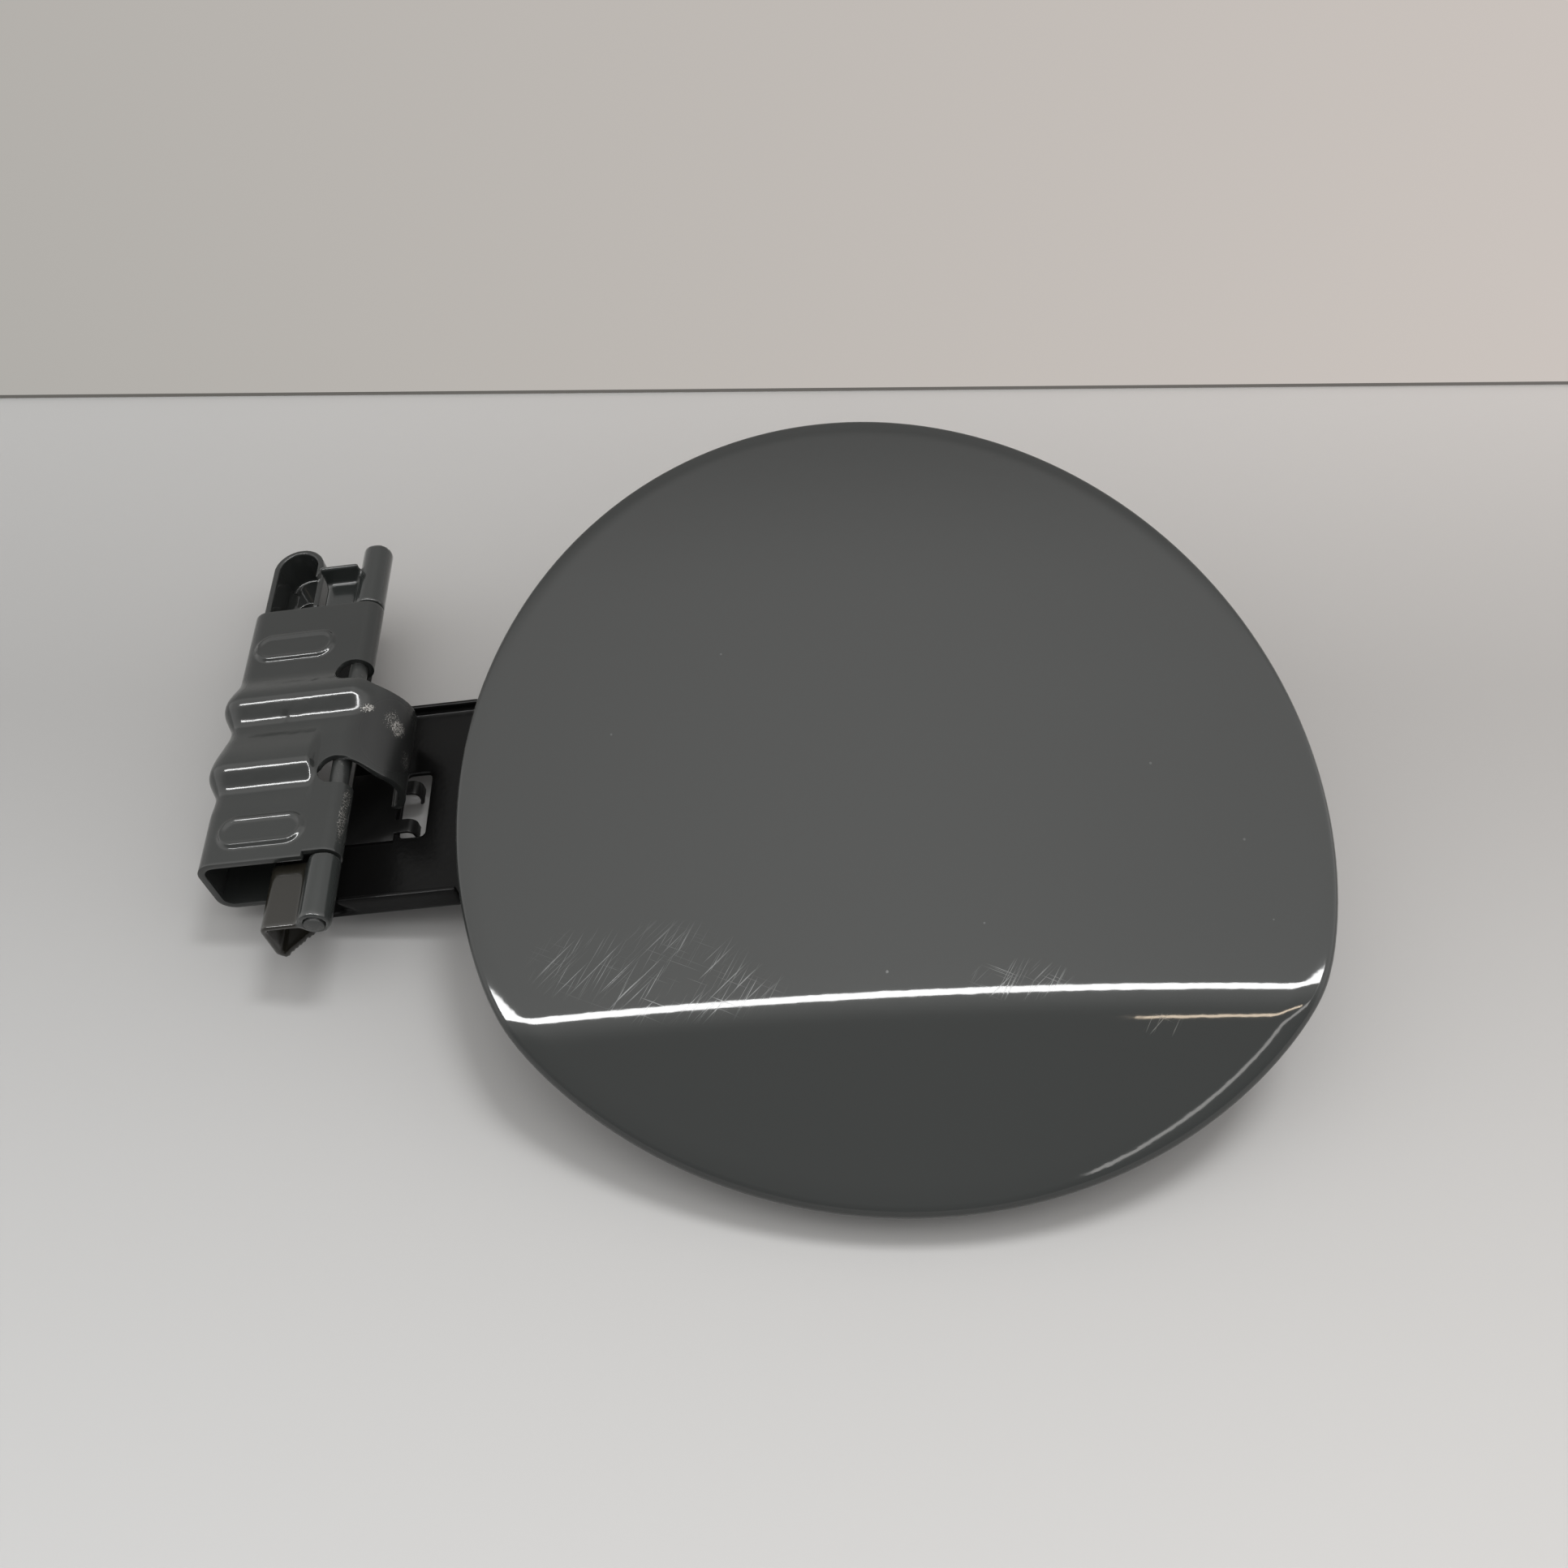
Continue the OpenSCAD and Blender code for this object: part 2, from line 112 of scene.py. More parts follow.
def lesser(far, near, y):
    """The smaller of two spans, rounded where they cross at the crease, and its share."""
    if abs(y - CREASE_Y) > CORNER_REACH:
        return (far, 1.0) if y > CREASE_Y else (near, 0.0)
    gap = (near - far) / CORNER
    share = 1 / (1 + math.exp(-max(-40.0, min(40.0, gap))))
    return min(far, near) - CORNER * math.log1p(math.exp(-abs(gap))), share


def row_span(y, inward=0.0):
    """Middle and half width of the lid at one distance from the hinge's near end."""
    t = (y - FAR_MID) / (FAR_B - inward)
    far = (FAR_A - inward) * math.sqrt(max(0.0, 1 - t * t))
    t = (y - NEAR_MID) / (NEAR_B - inward)
    near = (NEAR_A - inward) * math.sqrt(max(0.0, 1 - t * t))
    half, share = lesser(far, near, y)
    return MID_X + LEAN * (y - CREASE_Y) * share, half


def from_ellipse(x, y, a, b, mid_x, mid_y):
    """Distance inside one of the outline's ellipses, and the way out from there."""
    p, q = (x - mid_x) / a, (y - mid_y) / b
    f = max(math.hypot(p, q), 1e-6)
    slope = Vector((p / a, q / b)) / f
    return (1 - f) / max(slope.length, 1e-6), slope.normalized()


def from_rim(x, y):
    """Distance inside the outline and the way out from there."""
    far, far_way = from_ellipse(x, y, FAR_A, FAR_B, MID_X + LEAN * (y - CREASE_Y), FAR_MID)
    near, near_way = from_ellipse(x, y, NEAR_A, NEAR_B, MID_X, NEAR_MID)
    inset, share = lesser(far, near, y)
    return inset, near_way.lerp(far_way, share).normalized()


def fold_fall(y):
    d = CREASE_Y - y - FOLD_TOP
    if d <= 0:
        return 0.0
    if d < FOLD_RUN:
        return FOLD_SLOPE * d * d / (2 * FOLD_RUN)
    return FOLD_SLOPE * (d - FOLD_RUN / 2)


def skin_height(x, y):
    edge = max(0.0, EDGE_RUN - max(0.0, from_rim(x, y)[0])) / EDGE_RUN
    return (LID_RISE - LID_ROLL * x + LID_PITCH * y - fold_fall(y)
            - CROWN_X * x * x - CROWN_Y * y * y - EDGE_FALL * edge * edge)


def lid_rows():
    """Rows that run along the crease, close together in the fold and at the ends."""
    near_b, far_b = NEAR_B - HEM_R, FAR_B - HEM_R
    low_phi = math.asin((FOLD_FROM - NEAR_MID) / near_b)
    rows = [NEAR_MID + near_b * math.sin(-LAST_ROW + (LAST_ROW + low_phi) * i / NEAR_ROWS)
            for i in range(NEAR_ROWS)]
    rows += [FOLD_FROM + (FOLD_TO - FOLD_FROM) * i / FOLD_ROWS for i in range(FOLD_ROWS)]
    high_phi = math.asin((FOLD_TO - FAR_MID) / far_b)
    rows += [FAR_MID + far_b * math.sin(high_phi + (LAST_ROW - high_phi) * i / FAR_ROWS)
             for i in range(FAR_ROWS + 1)]
    return rows


rows = lid_rows()
deselect()
bpy.ops.mesh.primitive_grid_add(x_subdivisions=LID_COLUMNS - 1, y_subdivisions=len(rows) - 1,
                                size=2, location=(0, 0, 0))
skin = bpy.context.object
skin.name = "outer_skin"
for vertex in skin.data.vertices:
    y = rows[round((vertex.co.y + 1) / 2 * (len(rows) - 1))]
    middle, half = row_span(y, HEM_R)
    x = middle + half * math.sin(vertex.co.x * math.pi / 2)
    vertex.co = (x, y, skin_height(x, y))

# The edge is drawn round and back inside, ring by ring
hem = [(HEM_R - HEM_R * math.sin(math.radians(a)), HEM_R - HEM_R * math.cos(math.radians(a)))
       for a in range(15, 181, 15)]
hem += [(HEM_W * 0.5, 2 * HEM_R), (HEM_W, 2 * HEM_R)]
pick(skin)
bpy.ops.object.mode_set(mode="EDIT")
bpy.ops.mesh.select_mode(type="EDGE")
bpy.ops.mesh.select_all(action="DESELECT")
bpy.ops.mesh.select_non_manifold(extend=False, use_wire=False, use_multi_face=False,
                                 use_non_contiguous=False, use_verts=False)
ring = {}
for inward, drop in hem:
    bpy.ops.mesh.extrude_region_move()
    bpy.ops.object.mode_set(mode="OBJECT")
    moved = {}
    for vertex in skin.data.vertices:
        if not vertex.select:
            continue
        start = ring.get(tuple(vertex.co))
        if start is None:
            way = from_rim(vertex.co.x, vertex.co.y)[1]
            start = (vertex.co.x, vertex.co.y, way.x, way.y)
        x = start[0] + start[2] * (HEM_R - inward)
        y = start[1] + start[3] * (HEM_R - inward)
        vertex.co = (x, y, skin_height(x, y) - drop)
        moved[tuple(vertex.co)] = start
    ring = moved
    bpy.ops.object.mode_set(mode="EDIT")
bpy.ops.mesh.select_all(action="SELECT")
bpy.ops.mesh.normals_make_consistent(inside=False)
bpy.ops.object.mode_set(mode="OBJECT")
# The sheet grows inwards from its outer side, so that side has to face up
middle_face = min(skin.data.polygons, key=lambda f: (f.center.x - 10) ** 2 + f.center.y ** 2
                  + (0 if f.center.z > -2 else 1e6))
if middle_face.normal.z < 0:
    skin.data.flip_normals()


def solidify(obj, thickness):
    wall = obj.modifiers.new("wall", "SOLIDIFY")
    wall.thickness = thickness
    wall.offset = -1
    wall.use_even_offset = False
    pick(obj)
    bpy.ops.object.modifier_apply(modifier="wall")


def to_row(obj, offset):
    """From millimetres about the piece's own datum to metres in the row's frame."""
    for vertex in obj.data.vertices:
        vertex.co = vertex.co * MM + offset


solidify(skin, SKIN_T)
to_row(skin, LID_AT)
pick(skin)
bpy.ops.object.shade_smooth_by_angle(angle=math.radians(50))


def new_group(name, inputs, outputs):
    group = bpy.data.node_groups.new(name, "ShaderNodeTree")
    for label, value in inputs:
        socket = group.interface.new_socket(label, in_out="INPUT", socket_type="NodeSocketFloat")
        socket.default_value = value
    for label in outputs:
        group.interface.new_socket(label, in_out="OUTPUT", socket_type="NodeSocketFloat")
    return group, group.nodes.new("NodeGroupInput"), group.nodes.new("NodeGroupOutput")


def maths(tree, operation, a, b=None, clamp=False):
    node = tree.nodes.new("ShaderNodeMath")
    node.operation = operation
    node.use_clamp = clamp
    for place, value in ((0, a), (1, b)):
        if isinstance(value, (int, float)):
            node.inputs[place].default_value = value
        elif value is not None:
            tree.links.new(value, node.inputs[place])
    return node.outputs[0]


def mapped(tree, stretch=(1, 1, 1), turn=(0, 0, 0), move=(0, 0, 0), kind="POINT"):
    coordinates = tree.nodes.new("ShaderNodeTexCoord")
    mapping = tree.nodes.new("ShaderNodeMapping")
    mapping.vector_type = kind
    mapping.inputs["Location"].default_value = move
    mapping.inputs["Rotation"].default_value = turn
    mapping.inputs["Scale"].default_value = stretch
    tree.links.new(coordinates.outputs["Object"], mapping.inputs["Vector"])
    return mapping.outputs["Vector"]


def noise(tree, scale, detail=2.0, stretch=(1, 1, 1), turn=(0, 0, 0), rough=0.5):
    node = tree.nodes.new("ShaderNodeTexNoise")
    node.inputs["Detail"].default_value = detail
    node.inputs["Roughness"].default_value = rough
    if isinstance(scale, (int, float)):
        node.inputs["Scale"].default_value = scale
    else:
        tree.links.new(scale, node.inputs["Scale"])
    spread = tuple(1 / s for s in stretch)
    tree.links.new(mapped(tree, spread, turn, kind="TEXTURE"), node.inputs["Vector"])
    return node.outputs["Fac"]


def peel_group():
    group, entry, leave = new_group("orange_peel", [("Scale", 500.0), ("Strength", 1.0)],
                                    ["Height"])
    level = maths(group, "SUBTRACT", noise(group, entry.outputs["Scale"], 1.0), 0.5)
    group.links.new(maths(group, "MULTIPLY", level, entry.outputs["Strength"]),
                    leave.inputs["Height"])
    return group


def scratch_group():
    group, entry, leave = new_group("fine_scratches", [("Cut", 0.64), ("Amount", 1.0)],
                                    ["Mask"])
    streaks = [noise(group, scale, 1.0, (1.0, 0.016, 0.016), (0, 0, math.radians(turn)))
               for scale, turn in ((4300.0, -33), (3900.0, -50), (4600.0, 66))]
    crossing = maths(group, "SUBTRACT", streaks[2], 0.045)
    most = maths(group, "MAXIMUM", maths(group, "MAXIMUM", streaks[0], streaks[1]), crossing)
    sharp = maths(group, "MULTIPLY", maths(group, "SUBTRACT", most, entry.outputs["Cut"]), 11.0,
                  clamp=True)
    group.links.new(maths(group, "MULTIPLY", sharp, entry.outputs["Amount"], clamp=True),
                    leave.inputs["Mask"])
    return group


def dust_group():
    group, entry, leave = new_group("dust", [("Amount", 1.0)], ["Mask"])
    cells = group.nodes.new("ShaderNodeTexVoronoi")
    cells.inputs["Scale"].default_value = 260.0
    group.links.new(mapped(group), cells.inputs["Vector"])
    near = maths(group, "LESS_THAN", cells.outputs["Distance"], 0.07)
    rare = maths(group, "GREATER_THAN", cells.outputs["Color"], 0.88)
    both = maths(group, "MULTIPLY", near, rare)
    group.links.new(maths(group, "MULTIPLY", both, entry.outputs["Amount"], clamp=True),
                    leave.inputs["Mask"])
    return group


PEEL = peel_group()
SCRATCHES = scratch_group()
DUST = dust_group()


def new_material(name, roughness, metallic=0.0, specular=0.5):
    material = bpy.data.materials.new(name)
    material.use_nodes = True
    shader = material.node_tree.nodes["Principled BSDF"]
    shader.inputs["Roughness"].default_value = roughness
    shader.inputs["Metallic"].default_value = metallic
    shader.inputs["Specular IOR Level"].default_value = specular
    return material, material.node_tree, shader


def use(tree, group, **values):
    node = tree.nodes.new("ShaderNodeGroup")
    node.node_tree = group
    for key, value in values.items():
        node.inputs[key].default_value = value
    return node.outputs[0]


def mix_colour(tree, mask, first, second):
    node = tree.nodes.new("ShaderNodeMix")
    node.data_type = "RGBA"
    for label, value in (("A", first), ("B", second)):
        socket = next(s for s in node.inputs if s.name == label and s.type == "RGBA")
        if isinstance(value, tuple):
            socket.default_value = (*value, 1)
        else:
            tree.links.new(value, socket)
    tree.links.new(mask, node.inputs["Factor"])
    return next(s for s in node.outputs if s.type == "RGBA")


def mix_value(tree, mask, first, second):
    span = maths(tree, "MULTIPLY", mask, second - first)
    return maths(tree, "ADD", span, first, clamp=True)


def bump(tree, shader, height, distance, strength=1.0):
    node = tree.nodes.new("ShaderNodeBump")
    node.inputs["Distance"].default_value = distance
    node.inputs["Strength"].default_value = strength
    tree.links.new(height, node.inputs["Height"])
    tree.links.new(node.outputs["Normal"], shader.inputs["Normal"])


def spot(tree, centre, size, turn_z=0.0):
    """A soft oval place on a piece, fading out at its edge."""
    ball = tree.nodes.new("ShaderNodeTexGradient")
    ball.gradient_type = "SPHERICAL"
    tree.links.new(mapped(tree, size, (0, 0, turn_z), centre, "TEXTURE"),
                   ball.inputs["Vector"])
    return ball.outputs["Fac"]


def spots(tree, places, gain=2.2):
    total = None
    for centre, size in places:
        one = spot(tree, centre, size)
        total = one if total is None else maths(tree, "MAXIMUM", total, one)
    return maths(tree, "MULTIPLY", total, gain, clamp=True)


SCUFF_COLOUR = (0.24, 0.25, 0.25)
GLOSS, SCUFFED = 0.055, 0.4


def on_lid(x, y):
    return LID_AT + Vector((x, y, skin_height(x, y))) * MM


paint, tree, shader = new_material("body_paint", GLOSS)
scuffed = spots(tree, [(on_lid(-43, -38), (0.017, 0.010, 0.02)),
                       (on_lid(-34, -42), (0.014, 0.006, 0.02)),
                       (on_lid(-58, -35), (0.012, 0.007, 0.02)),
                       (on_lid(22, -43), (0.010, 0.004, 0.02)),
                       (on_lid(47, -51), (0.005, 0.002, 0.02))])
lines = use(tree, SCRATCHES, Cut=0.64, Amount=0.42)
scratched = maths(tree, "MULTIPLY", scuffed, lines)
marks = maths(tree, "MAXIMUM", scratched, use(tree, DUST, Amount=0.25))
tone = mix_colour(tree, noise(tree, 9.0, 2.0), (0.0380, 0.0408, 0.0400),
                  (0.0410, 0.0440, 0.0430))
tree.links.new(mix_colour(tree, marks, tone, SCUFF_COLOUR), shader.inputs["Base Color"])
tree.links.new(mix_value(tree, marks, GLOSS, SCUFFED), shader.inputs["Roughness"])
bump(tree, shader, use(tree, PEEL, Scale=420.0, Strength=1.0), 0.000009, 1.0)
skin.data.materials.append(paint)
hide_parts("outer_panel")
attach(skin, "door")

# Inner panel: a pressed tray whose edge lies in the hem. It has a raised middle for
# stiffness and carries the same paint, thinner and less glossy.


JOIN_WITHIN = 0.000004


def copy_of(node_name, name):
    """A copy of a solid that stands by itself, joined up and left in edit mode."""
    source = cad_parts[node_name]
    piece = source.copy()
    piece.data = source.data.copy()
    for key in list(piece.keys()):
        del piece[key]
    piece.name = name
    piece.parent = None
    piece.matrix_world = Matrix.Identity(4)
    piece.data.materials.clear()
    bpy.context.collection.objects.link(piece)
    pick(piece)
    bpy.ops.object.mode_set(mode="EDIT")
    bpy.ops.mesh.select_all(action="SELECT")
    bpy.ops.mesh.remove_doubles(threshold=JOIN_WITHIN)
    bpy.ops.mesh.select_all(action="SELECT")
    return piece


def dress(node_name, name, body, material, angle=35.0, edge=0.0):
    """A smoothly shaded, softly edged copy of a solid, which stands for it."""
    piece = copy_of(node_name, name)
    bpy.ops.mesh.tris_convert_to_quads(face_threshold=math.radians(2),
                                       shape_threshold=math.radians(70))
    bpy.ops.object.mode_set(mode="OBJECT")
    if edge:
        soft = piece.modifiers.new("edges", "BEVEL")
        soft.width = edge
        soft.segments = 2
        soft.limit_method = "ANGLE"
        soft.angle_limit = math.radians(40)
        bpy.ops.object.modifier_apply(modifier="edges")
    bpy.ops.object.shade_smooth_by_angle(angle=math.radians(angle))
    piece.data.materials.append(material)
    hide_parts(node_name)
    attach(piece, body)
    return piece


inner_paint, tree, shader = new_material("inner_paint", 0.32)
tone = mix_colour(tree, noise(tree, 35.0, 3.0), (0.040, 0.043, 0.041), (0.052, 0.055, 0.053))
tree.links.new(mix_colour(tree, use(tree, DUST, Amount=0.5), tone, (0.2, 0.2, 0.19)),
               shader.inputs["Base Color"])
bump(tree, shader, use(tree, PEEL, Scale=900.0, Strength=1.0), 0.00003, 0.8)
dress("inner_panel", "inner_tray", "door", inner_paint, 60.0)

# Hinge base: pressed from one 1.4 mm sheet, with two long ribs that wrap the back
# bend, two oval pads, two rolled knuckles and a tongue that curls down as a cam.
# Gloss grey paint, worn through on the tongue and on the near knuckle's side.

# Lengths in millimetres about the pin's axis; s runs along the section from the axis
BASE_T = 1.4
PLATE_Z = 3.3
WALL_X = -26.5
BEND_R, FOOT_R = 4.0, 3.5
FOOT_Z = PLATE_Z - 15.6
FOOT_EDGE = WALL_X + 12
BASE_NEAR, BASE_FAR = -32.0, 37.0
ROLL_R, ROLL_TURN, ROLL_ROWS = 3.3, 235, 30
ROOT_X = -6.5
NEAR_NOTCH, FAR_NOTCH = (-0.2, -10.5, 3.5), (-0.2, 16.2, 3.3)
TONGUE_R, TONGUE_X = 7.9, 4.5
TONGUE_TURN, TONGUE_ROWS = 150, 44
NEAR_EDGE = [(-0.2, -7.0), (2.0, -7.4), (4.5, -9.1), (7.5, -11.1), (9.5, -12.1), (13, -12.3)]
FAR_EDGE = [(-0.2, 12.9), (3.3, 12.6), (6.2, 11.4), (8.5, 10.4), (10.5, 9.7), (13, 9.3)]
PLAIN_S, ROLLED_S = 99.0, -50.0

# The press: each rib's crest, where it fades in along s, and its far side's width;
# each pad's middle and where it starts and ends along s
RIB_H, RIB_SLOPE, RIB_SINK = 2.4, 0.65, 0.175
FACET_FROM, FACET_TO = 0.9, 5.2
RIB_END, RIB_END_RUN = 37.0, 6.5
FAR_RIB, NEAR_RIB = (9.7, -6.5, -1.5, 8.0), (-8.2, 3.6, 5.4, 11.0)
FAR_PAD, NEAR_PAD = (25.5, 4.8, 23.5), (-24.5, 4.0, 22.5)
DENT_Y, DENT_S, DENT_DEPTH = 5.2, 13.0, 0.3
PAD_R, PAD_H, PAD_RIDGE = 4.0, 0.35, 0.36
CUT_Y, CUT_X = -30.8, -3.9
NEAR_STRAIGHT, FAR_STRAIGHT = -18.0, 21.0
BEND_S = -(WALL_X + BEND_R)


def steps(a, b, size):
    count = max(1, round(abs(b - a) / size))
    return [a + (b - a) * i / count for i in range(count)]


def plate_path():
    """Section from the knuckles' root over plate, bend and wall to the foot's edge."""
    path = [(x, PLATE_Z, 0.0, 1.0, -x) for x in steps(ROOT_X, WALL_X + BEND_R, 0.3)]
    for a in steps(90, 180, 7.5):
        c, s = math.cos(math.radians(a)), math.sin(math.radians(a))
        path.append((WALL_X + BEND_R + BEND_R * c, PLATE_Z - BEND_R + BEND_R * s, c, s,
                     BEND_S + BEND_R * math.radians(a - 90)))
    wall_s = BEND_S + BEND_R * math.pi / 2
    top = PLATE_Z - BEND_R
    for z in steps(top, FOOT_Z + FOOT_R, 0.7):
        path.append((WALL_X, z, -1.0, 0.0, wall_s + top - z))
    for a in steps(180, 270, 11.25):
        c, s = math.cos(math.radians(a)), math.sin(math.radians(a))
        path.append((WALL_X + FOOT_R + FOOT_R * c, FOOT_Z + FOOT_R + FOOT_R * s, c, s, PLAIN_S))
    for x in steps(WALL_X + FOOT_R, FOOT_EDGE, 1.2) + [FOOT_EDGE]:
        path.append((x, FOOT_Z, 0.0, -1.0, PLAIN_S))
    return path


def front_rows():
    """Rows from the root to the pin's axis, with the notches' round ends in them."""
    xs = steps(ROOT_X, 0.0, 0.3)
    for cx, _, r in (NEAR_NOTCH, FAR_NOTCH):
        xs += [cx - r * math.cos(math.radians(a)) for a in range(0, 91, 10)]
    kept = [ROOT_X]
    for x in sorted(xs):
        if kept[-1] + 0.04 < x < -0.02:
            kept.append(x)
    return [(x, PLATE_Z, 0.0, 1.0, -x) for x in kept]


def knuckle_path():
    path = front_rows()
    for a in [90 - ROLL_TURN * i / ROLL_ROWS for i in range(ROLL_ROWS + 1)]:
        c, s = math.cos(math.radians(a)), math.sin(math.radians(a))
        path.append((ROLL_R * c, ROLL_R * s, c, s, ROLLED_S))
    return path


def tongue_path():
    path = front_rows() + [(x, PLATE_Z, 0.0, 1.0, -x) for x in steps(0.0, TONGUE_X, 0.45)]
    for a in [90 - TONGUE_TURN * i / TONGUE_ROWS for i in range(TONGUE_ROWS + 1)]:
        c, s = math.cos(math.radians(a)), math.sin(math.radians(a))
        path.append((TONGUE_X + TONGUE_R * c, PLATE_Z - TONGUE_R + TONGUE_R * s, c, s,
                     -TONGUE_X - TONGUE_R * math.radians(90 - a)))
    return path


def eased(d, width):
    """A slope that sets in gradually over a given width."""
    if d <= -width / 2:
        return 0.0
    return d if d >= width / 2 else (d + width / 2) ** 2 / (2 * width)


def rib(y, s, crest, fade_from, fade_to, far_side):
    """A long swelling: it rises gently on the far side and falls steeply on the near."""
    d = crest - y
    if d < 0:
        height = RIB_H * smooth(1 + d / far_side)
    else:
        fall = RIB_SLOPE * (FACET_TO - FACET_FROM)
        height = (RIB_H - RIB_SLOPE * (eased(d - FACET_FROM, 2.0) - eased(d - FACET_TO, 2.0))
                  + (fall - RIB_H) * smooth((d - 6) / 5))
    lower = 1 - RIB_SINK * smooth((s - BEND_S) / 6)
    ends = (smooth((s - fade_from) / (fade_to - fade_from))
            * smooth((RIB_END - s) / RIB_END_RUN))
    return height * lower * ends


def pad(y, s, middle, s0, s1):
    """An oval raised by half a millimetre, with a fine ridge round its top."""
    d = PAD_R - math.hypot(s - min(max(s, s0 + PAD_R), s1 - PAD_R), y - middle)
    return (PAD_H * smooth((d + 0.2) / 1.2)
            + PAD_RIDGE * math.exp(-((d - 0.85) / 0.55) ** 2))


def press(y, s):
    """How far the press has pushed the sheet out at one place."""
    if s == PLAIN_S:
        return 0.0
    dent = DENT_DEPTH * math.exp(-((y - DENT_Y) ** 2 + (s - DENT_S) ** 2) / 0.35)
    return (rib(y, s, *FAR_RIB) + rib(y, s, *NEAR_RIB)
            + pad(y, s, *FAR_PAD) + pad(y, s, *NEAR_PAD) - dent)


def notch_gap(notch, x):
    cx, _, r = notch
    if x <= cx - r:
        return 0.0
    return r if x >= cx else math.sqrt(max(0.0, r * r - (cx - x) ** 2))


def near_patch_y(y, x):
    a, b = NEAR_STRAIGHT, NEAR_NOTCH[1]
    edge = b - notch_gap(NEAR_NOTCH, x)
    return y if y < a else a + (y - a) * (edge - a) / (b - a)


def far_patch_y(y, x):
    a, b = FAR_STRAIGHT, FAR_NOTCH[1]
    edge = b + notch_gap(FAR_NOTCH, x)
    return y if y > a else a + (y - a) * (edge - a) / (b - a)


def edge_at(edge, x):
    """Where the tongue's side runs, eased over its corners."""
    total = 0.0
    for place in (x - 0.7, x, x + 0.7):
        place = min(max(place, edge[0][0]), edge[-1][0])
        for (xa, ya), (xb, yb) in zip(edge, edge[1:]):
            if xa <= place <= xb:
                total += ya + (yb - ya) * (place - xa) / (xb - xa)
                break
    return total / 3


def tongue_patch_y(y, x):
    if x <= NEAR_NOTCH[0]:
        low = NEAR_NOTCH[1] + notch_gap(NEAR_NOTCH, x)
        high = FAR_NOTCH[1] - notch_gap(FAR_NOTCH, x)
    else:
        low, high = edge_at(NEAR_EDGE, x), edge_at(FAR_EDGE, x)
    span = FAR_NOTCH[1] - NEAR_NOTCH[1]
    return low + (y - NEAR_NOTCH[1]) / span * (high - low)


def sheet_patch(path, lines, shift):
    """One patch of sheet: rows follow the section, columns run along the pin."""
    deselect()
    bpy.ops.mesh.primitive_grid_add(x_subdivisions=len(path) - 1,
                                    y_subdivisions=len(lines) - 1, size=2)
    patch = bpy.context.object
    for vertex in patch.data.vertices:
        x, z, nx, nz, s = path[round((vertex.co.x + 1) / 2 * (len(path) - 1))]
        line = lines[round((vertex.co.y + 1) / 2 * (len(lines) - 1))]
        y = shift(line, x if s != ROLLED_S else ROLL_R)
        d = press(y, s)
        vertex.co = (x + nx * d, y, z + nz * d)
    return patch


near_lines = (steps(BASE_NEAR, CUT_Y, 0.6) + steps(CUT_Y, -29, 0.6) + steps(-29, -20, 0.3)
              + steps(-20, NEAR_NOTCH[1], 0.5) + [NEAR_NOTCH[1]])
tongue_lines = steps(NEAR_NOTCH[1], FAR_NOTCH[1], 0.5) + [FAR_NOTCH[1]]
far_lines = (steps(FAR_NOTCH[1], FAR_STRAIGHT, 0.5) + steps(FAR_STRAIGHT, 30, 0.3)
             + steps(30, BASE_FAR, 0.6) + [BASE_FAR])
all_lines = near_lines[:-1] + tongue_lines[:-1] + far_lines

patches = [sheet_patch(plate_path(), all_lines, lambda y, x: y),
           sheet_patch(knuckle_path(), near_lines, near_patch_y),
           sheet_patch(knuckle_path(), far_lines, far_patch_y),
           sheet_patch(tongue_path(), tongue_lines, tongue_patch_y)]
deselect()
for patch in patches:
    patch.select_set(True)
bpy.context.view_layer.objects.active = patches[0]
bpy.ops.object.join()
base = bpy.context.object
base.name = "pressed_base"
bpy.ops.object.mode_set(mode="EDIT")
bpy.ops.mesh.select_all(action="SELECT")
bpy.ops.mesh.remove_doubles(threshold=0.02)
bpy.ops.mesh.normals_make_consistent(inside=False)
bpy.ops.mesh.select_mode(type="FACE")
bpy.ops.mesh.select_all(action="DESELECT")
bpy.ops.object.mode_set(mode="OBJECT")
top_face = min(base.data.polygons,
               key=lambda f: abs(f.center.x + 15) + abs(f.center.y + 18) + abs(f.center.z - 3.3))
if top_face.normal.z < 0:
    base.data.flip_normals()
# The near corner of the plate is cut away beside the outer knuckle
for face in base.data.polygons:
    face.select = face.center.y < CUT_Y and face.center.x > CUT_X and face.center.z > -6
bpy.ops.object.mode_set(mode="EDIT")
bpy.ops.mesh.delete(type="FACE")
bpy.ops.object.mode_set(mode="OBJECT")
solidify(base, BASE_T)
soft = base.modifiers.new("edges", "BEVEL")
soft.width = 0.22
soft.segments = 2
soft.limit_method = "ANGLE"
soft.angle_limit = math.radians(55)
bpy.ops.object.modifier_apply(modifier="edges")
to_row(base, PIN_AT)
pick(base)
bpy.ops.object.shade_smooth_by_angle(angle=math.radians(50))

base_paint, tree, shader = new_material("hinge_paint", 0.10)


def at_pin(x, y, z):
    return PIN_AT + Vector((x, y, z)) * MM


def speckle_group():
    group, entry, leave = new_group("worn_speckle", [("Spread", 0.5), ("Grain", 2600.0)],
                                    ["Mask"])
    fine = noise(group, entry.outputs["Grain"], 2.0, rough=0.6)
    need = maths(group, "SUBTRACT", 1.0, entry.outputs["Spread"])
    above = maths(group, "SUBTRACT", fine, need)
    group.links.new(maths(group, "MULTIPLY", above, 9.0, clamp=True), leave.inputs["Mask"])
    return group


SPECKLE = speckle_group()


